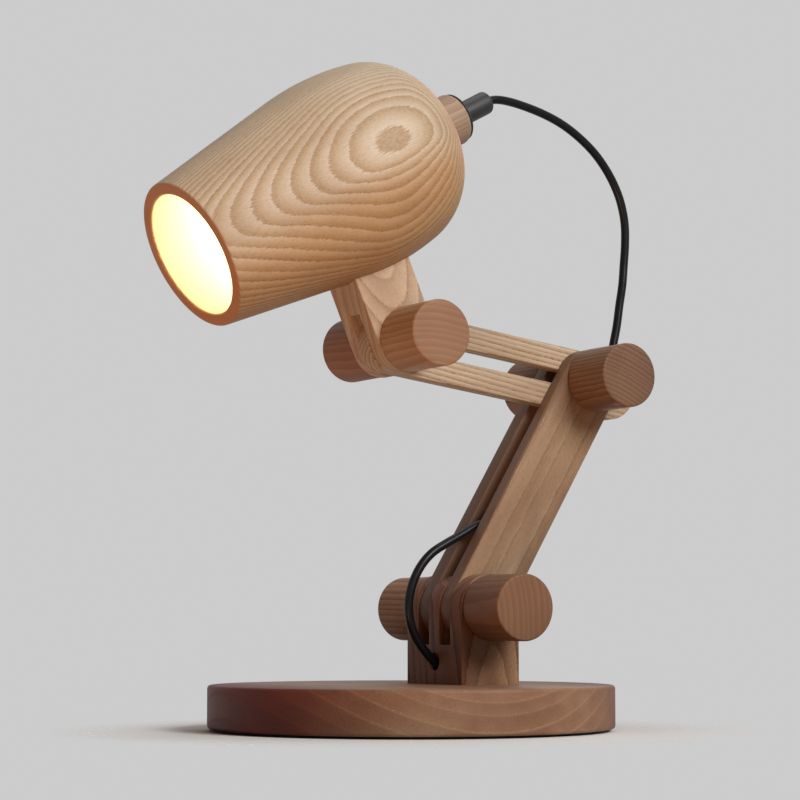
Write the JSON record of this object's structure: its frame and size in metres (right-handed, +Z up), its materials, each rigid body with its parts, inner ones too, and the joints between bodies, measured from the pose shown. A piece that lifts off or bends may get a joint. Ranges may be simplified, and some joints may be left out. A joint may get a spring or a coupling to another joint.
{
  "type": "desk lamp",
  "caption": "Wooden desk lamp shaped like a small robot: round base, slotted post, double lower arm, sliding upper arm, turned shade on a yoke and wooden clamp knobs.",
  "frame": {"origin": "middle of the base pad's underside, on the surface that the lamp stands on", "axes": "+Z up, the shade's mouth faces -X, every pivot runs along Y, and the turning clamp knobs are on the -Y side"},
  "size_m": [0.2513, 0.18, 0.2967],
  "materials": {
    "base_wood": "satin lacquer over ash-like grain",
    "knob_wood": "satin, turned",
    "slat_wood": "satin",
    "arm_wood": "satin",
    "yoke_wood": "satin",
    "shade_wood": "satin, turned",
    "neck_wood": "satin, turned",
    "pad": "matt foam",
    "steel": "zinc plated",
    "brass": "bare",
    "black_plastic": "satin black",
    "ceramic": "white insulator",
    "bulb_glass": "frosted",
    "bulb_cap_metal": "spun",
    "cord_sheath": "satin black"
  },
  "bodies": {
    "base": {"base_disc": "base_wood", "base_pad": "pad", "post": "base_wood", "post_screws": "steel", "base_grommet": "black_plastic", "base_bolt": "steel", "base_knob_far": "knob_wood", "cord_drop": "cord_sheath"},
    "base_clamp_washer_body": {"base_washer": "steel"},
    "base_clamp_knob": {"base_knob_near": "knob_wood", "base_insert": "brass"},
    "lower_arm": {"lower_slat_near": "slat_wood", "lower_slat_far": "slat_wood", "cord_elbow": "cord_sheath"},
    "elbow_clamp": {"elbow_bolt": "steel", "elbow_knob_far": "knob_wood", "cord_tail": "cord_sheath"},
    "elbow_clamp_washer_body": {"elbow_washer": "steel"},
    "elbow_clamp_knob": {"elbow_knob_near": "knob_wood", "elbow_insert": "brass"},
    "upper_arm": {"upper_arm": "arm_wood", "cord_loop": "cord_sheath"},
    "head": {"yoke": "yoke_wood", "yoke_dowels": "yoke_wood", "shade": "shade_wood", "neck": "neck_wood", "neck_washer": "black_plastic", "cord_grip": "black_plastic", "threaded_nipple": "steel", "nipple_nut": "steel", "holder_cap": "black_plastic", "holder_shell": "black_plastic", "holder_contact_block": "ceramic", "holder_screw_shell": "brass", "centre_contact": "brass", "bulb_glass": "bulb_glass", "bulb_cap": "bulb_cap_metal", "head_bolt": "steel", "head_knob_far": "knob_wood"},
    "head_clamp_washer_body": {"head_washer": "steel"},
    "head_clamp_knob": {"head_knob_near": "knob_wood", "head_insert": "brass"}
  },
  "joints": [
    {"name": "base_tilt", "type": "hinge", "parent": "base", "child": "lower_arm", "pos_m": [0.027, 0, 0.0538], "axis": [0, 1, 0], "range_deg": [-55, 30], "deforming": ["cord_drop"]},
    {"name": "elbow_fold", "type": "hinge", "parent": "lower_arm", "child": "elbow_clamp", "pos_m": [0.09082, 0, 0.15918], "axis": [0, -1, 0], "range_deg": [-45, 30], "deforming": ["cord_elbow"]},
    {"name": "arm_slide", "type": "slide", "parent": "elbow_clamp", "child": "upper_arm", "axis": [-0.9914, 0, 0.1305], "range_m": [-0.05, 0.015], "deforming": ["cord_tail"]},
    {"name": "head_tilt", "type": "hinge", "parent": "upper_arm", "child": "head", "pos_m": [-0.00872, 0, 0.17229], "axis": [0, -1, 0], "range_deg": [-35, 25], "deforming": ["cord_loop"]},
    {"name": "base_clamp_release", "type": "slide", "parent": "base", "child": "base_clamp_washer_body", "axis": [0, -1, 0], "range_m": [0, 0.001]},
    {"name": "base_clamp_turn", "type": "hinge", "parent": "base_clamp_washer_body", "child": "base_clamp_knob", "pos_m": [0.027, -0.023, 0.0538], "axis": [0, -1, 0], "range_deg": [0, 360]},
    {"name": "elbow_clamp_release", "type": "slide", "parent": "elbow_clamp", "child": "elbow_clamp_washer_body", "axis": [0, -1, 0], "range_m": [0, 0.001]},
    {"name": "elbow_clamp_turn", "type": "hinge", "parent": "elbow_clamp_washer_body", "child": "elbow_clamp_knob", "pos_m": [0.09082, -0.0134, 0.15918], "axis": [0, -1, 0], "range_deg": [0, 360]},
    {"name": "head_clamp_release", "type": "slide", "parent": "head", "child": "head_clamp_washer_body", "axis": [0, -1, 0], "range_m": [0, 0.001]},
    {"name": "head_clamp_turn", "type": "hinge", "parent": "head_clamp_washer_body", "child": "head_clamp_knob", "pos_m": [-0.00872, -0.0123, 0.17229], "axis": [0, -1, 0], "range_deg": [0, 360]}
  ],
  "couplings": [
    {"joint": "base_clamp_turn", "follows": "base_clamp_release", "rad_per_m": 6283.2},
    {"joint": "elbow_clamp_turn", "follows": "elbow_clamp_release", "rad_per_m": 6283.2},
    {"joint": "head_clamp_turn", "follows": "head_clamp_release", "rad_per_m": 6283.2}
  ]
}
